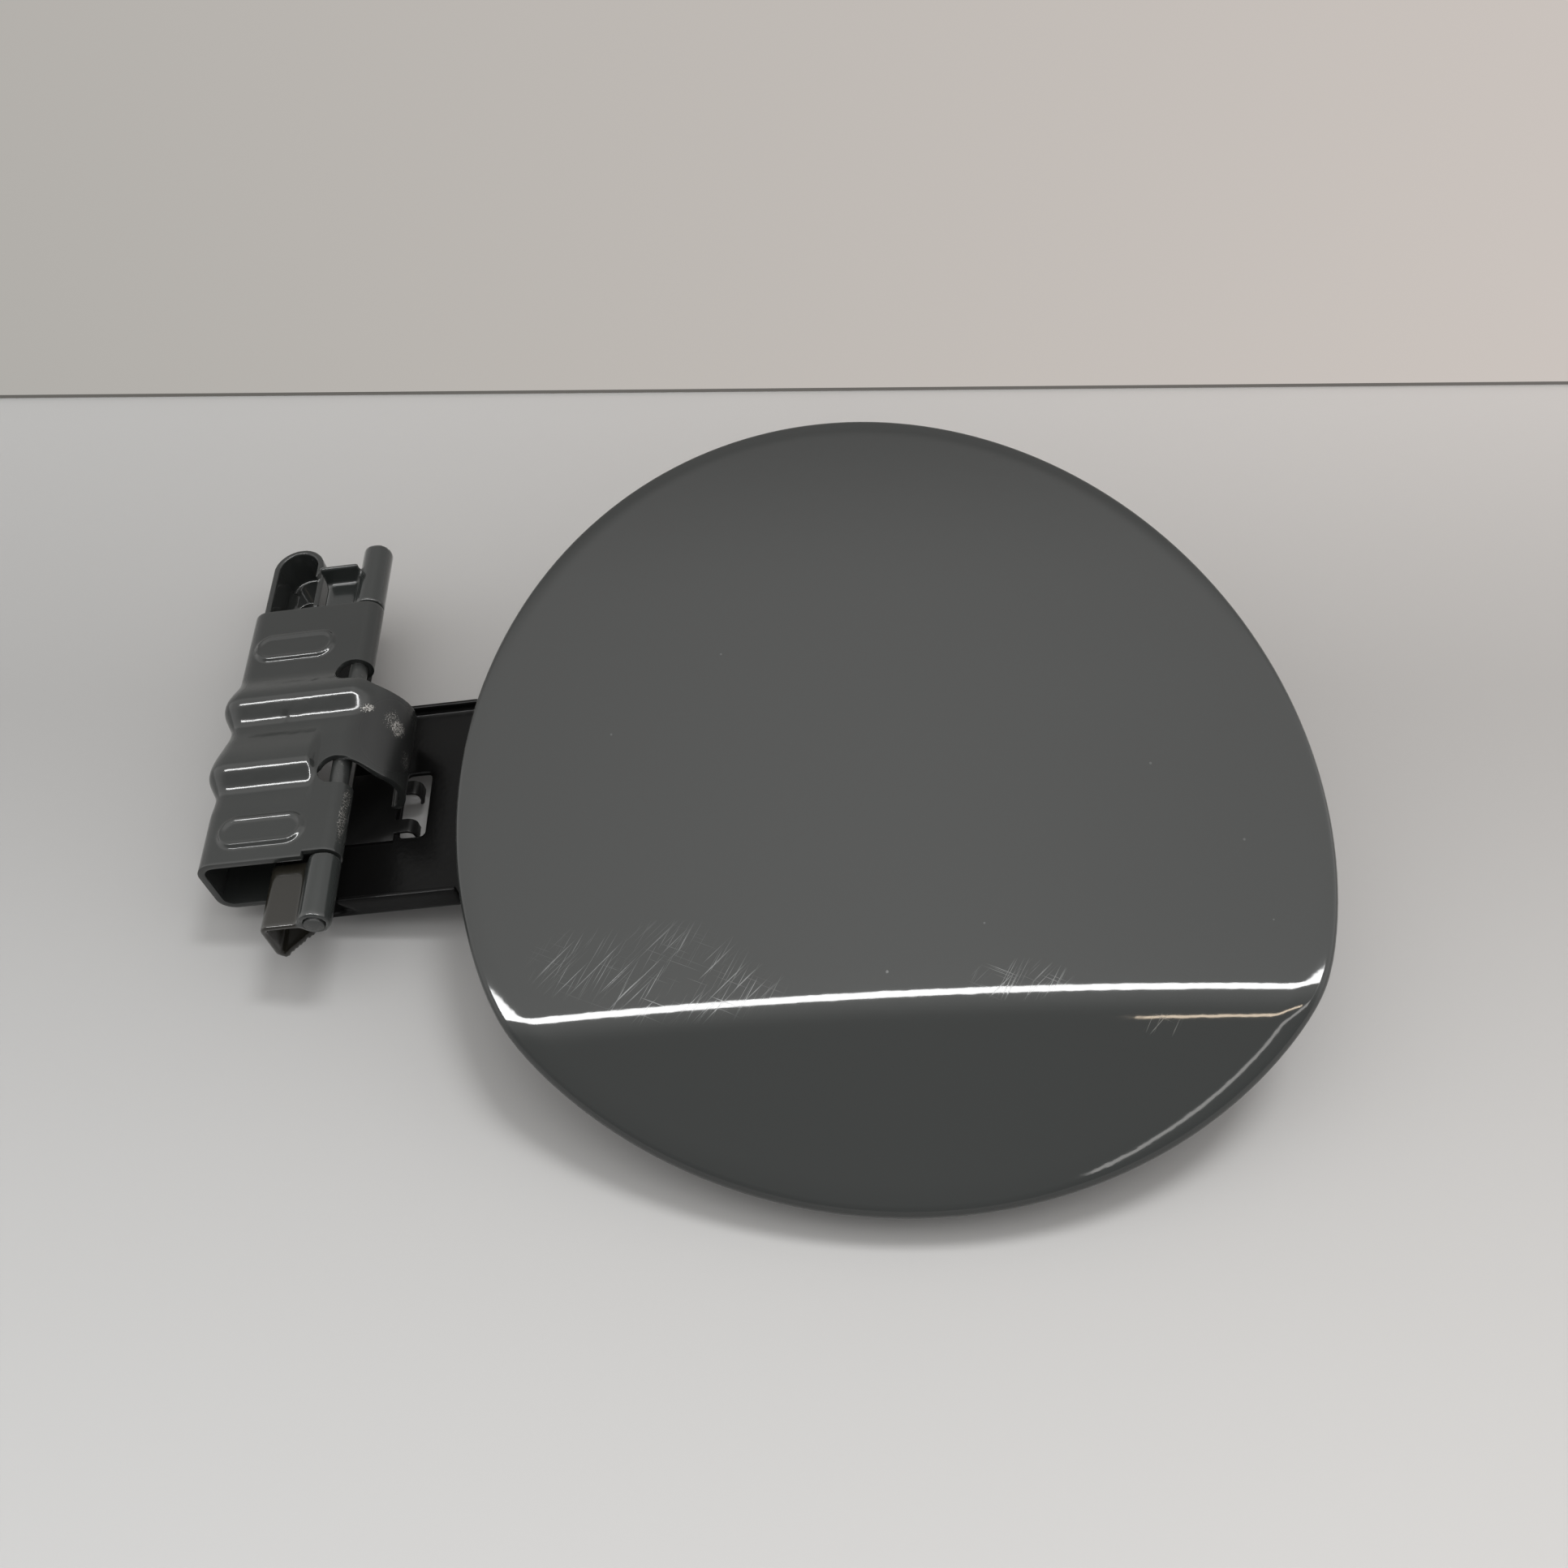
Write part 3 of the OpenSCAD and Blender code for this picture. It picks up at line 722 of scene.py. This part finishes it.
def speckled(tree, place_mask, spread, grain):
    node = tree.nodes.new("ShaderNodeGroup")
    node.node_tree = SPECKLE
    tree.links.new(maths(tree, "MULTIPLY", place_mask, spread), node.inputs["Spread"])
    node.inputs["Grain"].default_value = grain
    return node.outputs[0]


patchy = maths(tree, "ADD", maths(tree, "MULTIPLY", noise(tree, 700.0, 2.0), 1.6), 0.2)
tongue_worn = spots(tree, [(at_pin(5.1, 5.0, 3.2), (0.0030, 0.0022, 0.002)),
                           (at_pin(11.0, 1.2, -0.2), (0.0030, 0.0044, 0.0038))], 1.5)
tongue_rubbed = spots(tree, [(at_pin(12.2, -5.0, -3.6), (0.0030, 0.0070, 0.0046)),
                             (at_pin(9.8, 3.0, 1.2), (0.0044, 0.0066, 0.0044))], 1.3)
knuckle_worn = spots(tree, [(at_pin(2.8, -22.5, 1.5), (0.0018, 0.0120, 0.0024)),
                            (at_pin(2.9, -17.5, 1.2), (0.0018, 0.0055, 0.0026))], 1.5)
bare = maths(tree, "MAXIMUM", speckled(tree, tongue_worn, 0.56, 3400.0),
             maths(tree, "MAXIMUM", speckled(tree, tongue_rubbed, 0.46, 4000.0),
                   speckled(tree, knuckle_worn, 0.51, 3800.0)))
bare = maths(tree, "MULTIPLY", bare, patchy, clamp=True)
dulled = spots(tree, [(at_pin(9.5, -1.0, 0.0), (0.0095, 0.015, 0.011))])
tone = mix_colour(tree, noise(tree, 60.0, 3.0), (0.037, 0.040, 0.039), (0.046, 0.049, 0.048))
tone = mix_colour(tree, dulled, tone, (0.018, 0.019, 0.019))
tree.links.new(mix_colour(tree, bare, tone, (0.42, 0.41, 0.39)), shader.inputs["Base Color"])
tree.links.new(maths(tree, "MULTIPLY", bare, 0.75), shader.inputs["Metallic"])
rough = mix_value(tree, dulled, 0.10, 0.32)
tree.links.new(maths(tree, "ADD", rough, maths(tree, "MULTIPLY", bare, 0.2), clamp=True),
               shader.inputs["Roughness"])
bump(tree, shader, use(tree, PEEL, Scale=420.0, Strength=1.0), 0.00003, 1.0)
base.data.materials.append(base_paint)


def soften(piece, voxel, passes):
    """Gives a thin pressing the small round edges that forming leaves."""
    pick(piece)
    even = piece.modifiers.new("even", "REMESH")
    even.mode = "VOXEL"
    even.voxel_size = voxel
    bpy.ops.object.modifier_apply(modifier="even")
    relax = piece.modifiers.new("relax", "SMOOTH")
    relax.factor = 0.5
    relax.iterations = passes
    bpy.ops.object.modifier_apply(modifier="relax")
    bpy.ops.object.shade_smooth()


# The scoop at the base's far end is drawn from the same sheet
scoop = copy_of("hinge_base", "base_scoop")
bpy.ops.mesh.bisect(plane_co=at_pin(0, BASE_FAR - 0.02, 0), plane_no=(0, 1, 0),
                    use_fill=True, clear_inner=True)
bpy.ops.object.mode_set(mode="OBJECT")
soften(scoop, 0.00028, 8)
scoop.data.materials.append(base_paint)
for piece in (base, scoop):
    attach(piece, "base")
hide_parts("hinge_base")
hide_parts("hinge_base")

# Hinge arm: pressed from 1.2 mm sheet in black coat. Its outer knuckles and the
# wings beside them caught the body's grey paint, the neck under the lid did not.
NEAR_WING_Y, FAR_WING_Y = PIN_AT.y - 0.0305, PIN_AT.y + 0.0372
WING_X = PIN_AT.x - 0.0043
KNUCKLE_LOW, WING_LOW = PIN_AT.z - 0.0052, PIN_AT.z - 0.0150
NECK_START, NECK_SETBACK = 3.0, 0.0045
arm_coat, tree, shader = new_material("arm_coat", 0.3, specular=0.14)
place = tree.nodes.new("ShaderNodeSeparateXYZ")
tree.links.new(mapped(tree), place.inputs["Vector"])
near_wing = maths(tree, "LESS_THAN", place.outputs["Y"], NEAR_WING_Y)
far_wing = maths(tree, "GREATER_THAN", place.outputs["Y"], FAR_WING_Y)
wings = maths(tree, "ADD", near_wing, far_wing)
behind = maths(tree, "LESS_THAN", place.outputs["X"], WING_X)
level = maths(tree, "ADD", maths(tree, "MULTIPLY", behind, KNUCKLE_LOW - WING_LOW),
              maths(tree, "SUBTRACT", place.outputs["Z"], KNUCKLE_LOW))
ragged = maths(tree, "MULTIPLY", maths(tree, "SUBTRACT", noise(tree, 260.0, 3.0), 0.5), 0.004)
upper = maths(tree, "MULTIPLY", maths(tree, "ADD", level, ragged), 420.0, clamp=True)
near_pin = maths(tree, "LESS_THAN", place.outputs["X"], PIN_AT.x + 0.0045)
painted = maths(tree, "MULTIPLY", maths(tree, "MULTIPLY", upper, near_pin), wings)
# Behind the pin, on the near wing and below the pin's axis, the grey turns a darker brown. This is
# partly thinner paint there, and partly painted shade with a painted warm reflection.
low = maths(tree, "LESS_THAN", place.outputs["Z"], PIN_AT.z - 0.0006)
thin_paint_and_shade = maths(tree, "MULTIPLY", maths(tree, "MAXIMUM", near_wing, low),
              maths(tree, "LESS_THAN", place.outputs["X"], PIN_AT.x - 0.0036))
grey = mix_colour(tree, thin_paint_and_shade, (0.035, 0.039, 0.038), (0.019, 0.0175, 0.0135))
black = mix_colour(tree, noise(tree, 90.0, 4.0), (0.005, 0.005, 0.005), (0.009, 0.009, 0.009))
black = mix_colour(tree, use(tree, DUST, Amount=0.4), black, (0.09, 0.09, 0.09))
tree.links.new(painted, shader.inputs["Coat Weight"])
shader.inputs["Coat Roughness"].default_value = 0.15
tree.links.new(mix_colour(tree, painted, black, grey), shader.inputs["Base Color"])
tree.links.new(mix_value(tree, painted, 0.24, 0.2), shader.inputs["Roughness"])
bump(tree, shader, use(tree, PEEL, Scale=800.0, Strength=1.0), 0.00004, 1.0)

arm = dress("hinge_arm", "pressed_arm", "door", arm_coat)
# The turned-up near edge of the neck starts behind the knuckle
for vertex in arm.data.vertices:
    x, y, z = (vertex.co - PIN_AT) / MM
    on_edge = -34.6 < y < -33.2 and z > -15.3 and (y > -34 or z > -15)
    if on_edge and abs(x - NECK_START) < 0.1:
        vertex.co.x -= NECK_SETBACK
soften(arm, 0.00046, 6)

# Cam spring: a blade of spring steel in black, clipped into the arm's slot by its
# two hooked fingers.
spring_coat, tree, shader = new_material("spring_coat", 0.3, specular=0.2)
tone = mix_colour(tree, noise(tree, 150.0, 3.0), (0.008, 0.008, 0.008), (0.018, 0.018, 0.018))
tree.links.new(tone, shader.inputs["Base Color"])
bump(tree, shader, use(tree, PEEL, Scale=1500.0, Strength=1.0), 0.00002, 1.0)
dress("cam_spring", "slot_spring", "door", spring_coat, 40.0, 0.00012)

# Hinge pin: 4 mm steel wire, painted over with the hinge where it shows.
pin_paint, tree, shader = new_material("pin_paint", 0.28)
worn = use(tree, SPECKLE, Spread=0.36, Grain=1600.0)
tree.links.new(mix_colour(tree, worn, (0.048, 0.051, 0.050), (0.18, 0.18, 0.17)),
               shader.inputs["Base Color"])
tree.links.new(maths(tree, "MULTIPLY", worn, 0.5), shader.inputs["Metallic"])
bump(tree, shader, use(tree, PEEL, Scale=1200.0, Strength=1.0), 0.00003, 1.0)
dress("hinge_pin", "wire_pin", "door", pin_paint, 40.0, 0.0003)

# Striker: a bent 4 mm wire loop on a small foot, zinc plated, under the inner panel.
zinc, tree, shader = new_material("zinc_plate", 0.36, metallic=0.85)
tone = mix_colour(tree, noise(tree, 220.0, 4.0), (0.36, 0.36, 0.36), (0.50, 0.49, 0.47))
tree.links.new(tone, shader.inputs["Base Color"])
tree.links.new(mix_value(tree, noise(tree, 400.0, 3.0), 0.28, 0.48), shader.inputs["Roughness"])
bump(tree, shader, use(tree, PEEL, Scale=1800.0, Strength=1.0), 0.00002, 1.0)
dress("latch_striker", "wire_striker", "door", zinc, 40.0, 0.0002)

# Rubber stops: three moulded buttons that are pushed into the inner panel.
rubber, tree, shader = new_material("stop_rubber", 0.75)
tone = mix_colour(tree, noise(tree, 300.0, 4.0), (0.014, 0.014, 0.014), (0.028, 0.027, 0.026))
tree.links.new(tone, shader.inputs["Base Color"])
bump(tree, shader, noise(tree, 2500.0, 3.0), 0.00004, 0.8)
for node_name in ("rubber_stop_far", "rubber_stop_near", "rubber_stop_side"):
    dress(node_name, node_name + "_button", "door", rubber, 40.0, 0.0004)

# Floor and wall: a pale bench top that the door lies on, painted brighter towards the wall
# and to the right as painted light, and a wall behind it that glows with painted light. Seen from
# behind or from below they let the view through.
floor_up = (Vector((0, 0, 1)) - RIGHT * RIGHT.z).normalized()
lowest = min(floor_up.dot(v.co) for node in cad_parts.values() for v in node.data.vertices)
floor_level = lowest - 0.0003


def on_floor(px, py):
    d = sight(px, py)
    return LENS_AT + d * ((floor_level - floor_up.dot(LENS_AT)) / floor_up.dot(d))


def backdrop_material(name, left_tone, right_tone, glow, far_tone=None):
    """Pale surface, brighter and warmer towards the right and, with a far tone, towards the far
    side, as painted light; a glowing one shows that painted tone as it is, unlit.
    """
    material, tree, shader = new_material(name, 0.6, specular=0.0 if glow else 0.25)
    split = tree.nodes.new("ShaderNodeSeparateXYZ")
    tree.links.new(mapped(tree), split.inputs["Vector"])
    across = maths(tree, "DIVIDE", maths(tree, "SUBTRACT", split.outputs["X"], left_seam.x),
                   right_seam.x - left_seam.x, clamp=True)
    tone = mix_colour(tree, across, left_tone, right_tone)
    if far_tone:
        near_y, far_y = on_floor(966, 1850).y, middle_seam.y
        away = maths(tree, "DIVIDE", maths(tree, "SUBTRACT", split.outputs["Y"], near_y),
                     far_y - near_y, clamp=True)
        away = maths(tree, "MULTIPLY", away, away)
        tone = mix_colour(tree, away, tone, mix_colour(tree, across, far_tone[0], far_tone[1]))
    if glow:
        shader.inputs["Base Color"].default_value = (0, 0, 0, 1)
        shader.inputs["Emission Strength"].default_value = 1.0
        tree.links.new(tone, shader.inputs["Emission Color"])
    else:
        tree.links.new(tone, shader.inputs["Base Color"])
    through = tree.nodes.new("ShaderNodeBsdfTransparent")
    side = tree.nodes.new("ShaderNodeNewGeometry")
    choose = tree.nodes.new("ShaderNodeMixShader")
    tree.links.new(side.outputs["Backfacing"], choose.inputs["Fac"])
    tree.links.new(shader.outputs["BSDF"], choose.inputs[1])
    tree.links.new(through.outputs["BSDF"], choose.inputs[2])
    tree.links.new(choose.outputs["Shader"],
                   tree.nodes["Material Output"].inputs["Surface"])
    return material


def backdrop_plane(name, corners, material):
    mesh = bpy.data.meshes.new(name)
    mesh.from_pydata(corners, [], [(0, 1, 2, 3)])
    plane = bpy.data.objects.new(name, mesh)
    bpy.context.collection.objects.link(plane)
    plane.data.materials.append(material)
    return plane


left_seam, right_seam = on_floor(0, 489), on_floor(1932, 472)
along = (right_seam - left_seam).normalized()
back = floor_up.cross(along)
middle_seam = (left_seam + right_seam) / 2
REACH, DEPTH, WALL_H = 6, 8, 0.5
left, right = middle_seam - along * REACH, middle_seam + along * REACH
# The bench top's colour brightens towards the far wall and to the right: painted light.
floor_painted_light = backdrop_material("bench_top", (0.455, 0.457, 0.457), (0.490, 0.483, 0.476), False,
                                ((0.82, 0.825, 0.83), (0.90, 0.885, 0.875)))
# The wall glows with a fixed tone that also lights the bench, brighter and warmer to the right:
# painted light.
wall_painted_glow = backdrop_material("wall", (0.435, 0.420, 0.395), (0.600, 0.550, 0.515), True)
# A thin dark glowing strip along the foot of the wall: painted shade in the corner.
corner_painted_shade = backdrop_material("seam", (0.13, 0.125, 0.115), (0.15, 0.14, 0.13), True)
backdrop_plane("bench", [left - back * DEPTH, right - back * DEPTH, right, left], floor_painted_light)
wall = backdrop_plane("wall", [left, right, right + floor_up * WALL_H, left + floor_up * WALL_H],
                      wall_painted_glow)
wall.visible_glossy = False
lift, forward = floor_up * 0.0011, back * -0.0006
backdrop_plane("wall_seam", [left + forward, right + forward, right + forward + lift,
                             left + forward + lift], corner_painted_shade)

# Light: a pale room that is bright overhead and behind and dims softly to the front,
# and narrow lamps that the gloss paint mirrors as lines along the crease and the rim.
world = bpy.data.worlds.new("room")
bpy.context.scene.world = world
world.use_nodes = True
tree = world.node_tree
way = tree.nodes.new("ShaderNodeTexCoord")
split = tree.nodes.new("ShaderNodeSeparateXYZ")
tree.links.new(way.outputs["Generated"], split.inputs["Vector"])
sweep = tree.nodes.new("ShaderNodeValToRGB")
sweep.color_ramp.interpolation = "EASE"
tree.links.new(maths(tree, "MULTIPLY", maths(tree, "ADD", split.outputs["Y"], 1.0), 0.5),
               sweep.inputs["Fac"])
band = sweep.color_ramp.elements
band[0].color = (0.22, 0.22, 0.22, 1)
band[1].color = (0.35, 0.345, 0.335, 1)
for place, level in ((0.25, 0.27), (0.44, 0.97), (0.66, 1.0), (0.79, 0.46)):
    band.new(place).color = (level, level * 0.99, level * 0.975, 1)
aside = maths(tree, "SUBTRACT", split.outputs["X"], 0.12)
spread = maths(tree, "MULTIPLY", maths(tree, "MULTIPLY", aside, aside), -4.4)
fading = maths(tree, "EXPONENT", spread)
tree.links.new(sweep.outputs["Color"], tree.nodes["Background"].inputs["Color"])
tree.links.new(maths(tree, "ADD", maths(tree, "MULTIPLY", fading, 0.4), 1.2),
               tree.nodes["Background"].inputs["Strength"])
# Beyond the floor and the wall the camera sees a plain pale tone
plain = tree.nodes.new("ShaderNodeBackground")
plain.inputs["Color"].default_value = (0.62, 0.61, 0.595, 1)
seen = tree.nodes.new("ShaderNodeLightPath")
choose = tree.nodes.new("ShaderNodeMixShader")
tree.links.new(seen.outputs["Is Camera Ray"], choose.inputs["Fac"])
tree.links.new(tree.nodes["Background"].outputs["Background"], choose.inputs[1])
tree.links.new(plain.outputs["Background"], choose.inputs[2])
tree.links.new(choose.outputs["Shader"], tree.nodes["World Output"].inputs["Surface"])


def area_lamp(name, place, aim, size, radiance, colour, turn_to=None, glossy_only=False):
    lamp = bpy.data.lights.new(name, "AREA")
    lamp.shape = "RECTANGLE"
    lamp.size, lamp.size_y = size
    lamp.color = colour
    lamp.energy = radiance * math.pi * size[0] * size[1]
    obj = bpy.data.objects.new(name, lamp)
    bpy.context.collection.objects.link(obj)
    z = (Vector(place) - Vector(aim)).normalized()
    x = Vector((1, 0, 0)) if turn_to is None else turn_to
    x = (x - z * x.dot(z)).normalized()
    obj.matrix_world = Matrix.Translation(place) @ Matrix((x, z.cross(x), z)).transposed().to_4x4()
    obj.visible_camera = False
    if glossy_only:
        obj.visible_diffuse = False
        obj.visible_transmission = False
        obj.visible_volume_scatter = False
        lamp.use_shadow = False
    return obj


crease_mid = on_lid(MID_X, CREASE_Y)


def aim_from(tilt, distance, side=0.0):
    """A place above the crease, tilted from upright towards the near side."""
    t = math.radians(tilt)
    return crease_mid + Vector((side, -math.sin(t), math.cos(t))) * distance


area_lamp("white_strip", aim_from(7.5, 1.0, 0.25), crease_mid + Vector((0.25, 0, 0)),
          (2.1, 0.10), 24.0, (1, 1, 1), glossy_only=True)
area_lamp("warm_strip", aim_from(33, 1.0, 0.70), crease_mid + Vector((0.70, 0, 0)),
          (0.5, 0.032), 16.0, (1.0, 0.82, 0.62), glossy_only=True)
rim_way = Vector((0.656, -0.484, 0.568)).normalized()
area_lamp("rim_strip", crease_mid + rim_way * 1.2, crease_mid, (1.1, 0.04), 5.0,
          (1, 0.98, 0.95), Vector((0.6, 0.8, 0)), glossy_only=True)
sun = bpy.data.lights.new("soft_sun", "SUN")
sun.energy = 2.0
sun.angle = math.radians(20)
sun_obj = bpy.data.objects.new("soft_sun", sun)
bpy.context.collection.objects.link(sun_obj)
sun_from = Vector((0.45, 0.42, 1)).normalized()
sun_obj.rotation_euler = sun_from.to_track_quat("Z", "Y").to_euler()
sun_obj.visible_glossy = False

bpy.context.scene.view_settings.view_transform = "Standard"
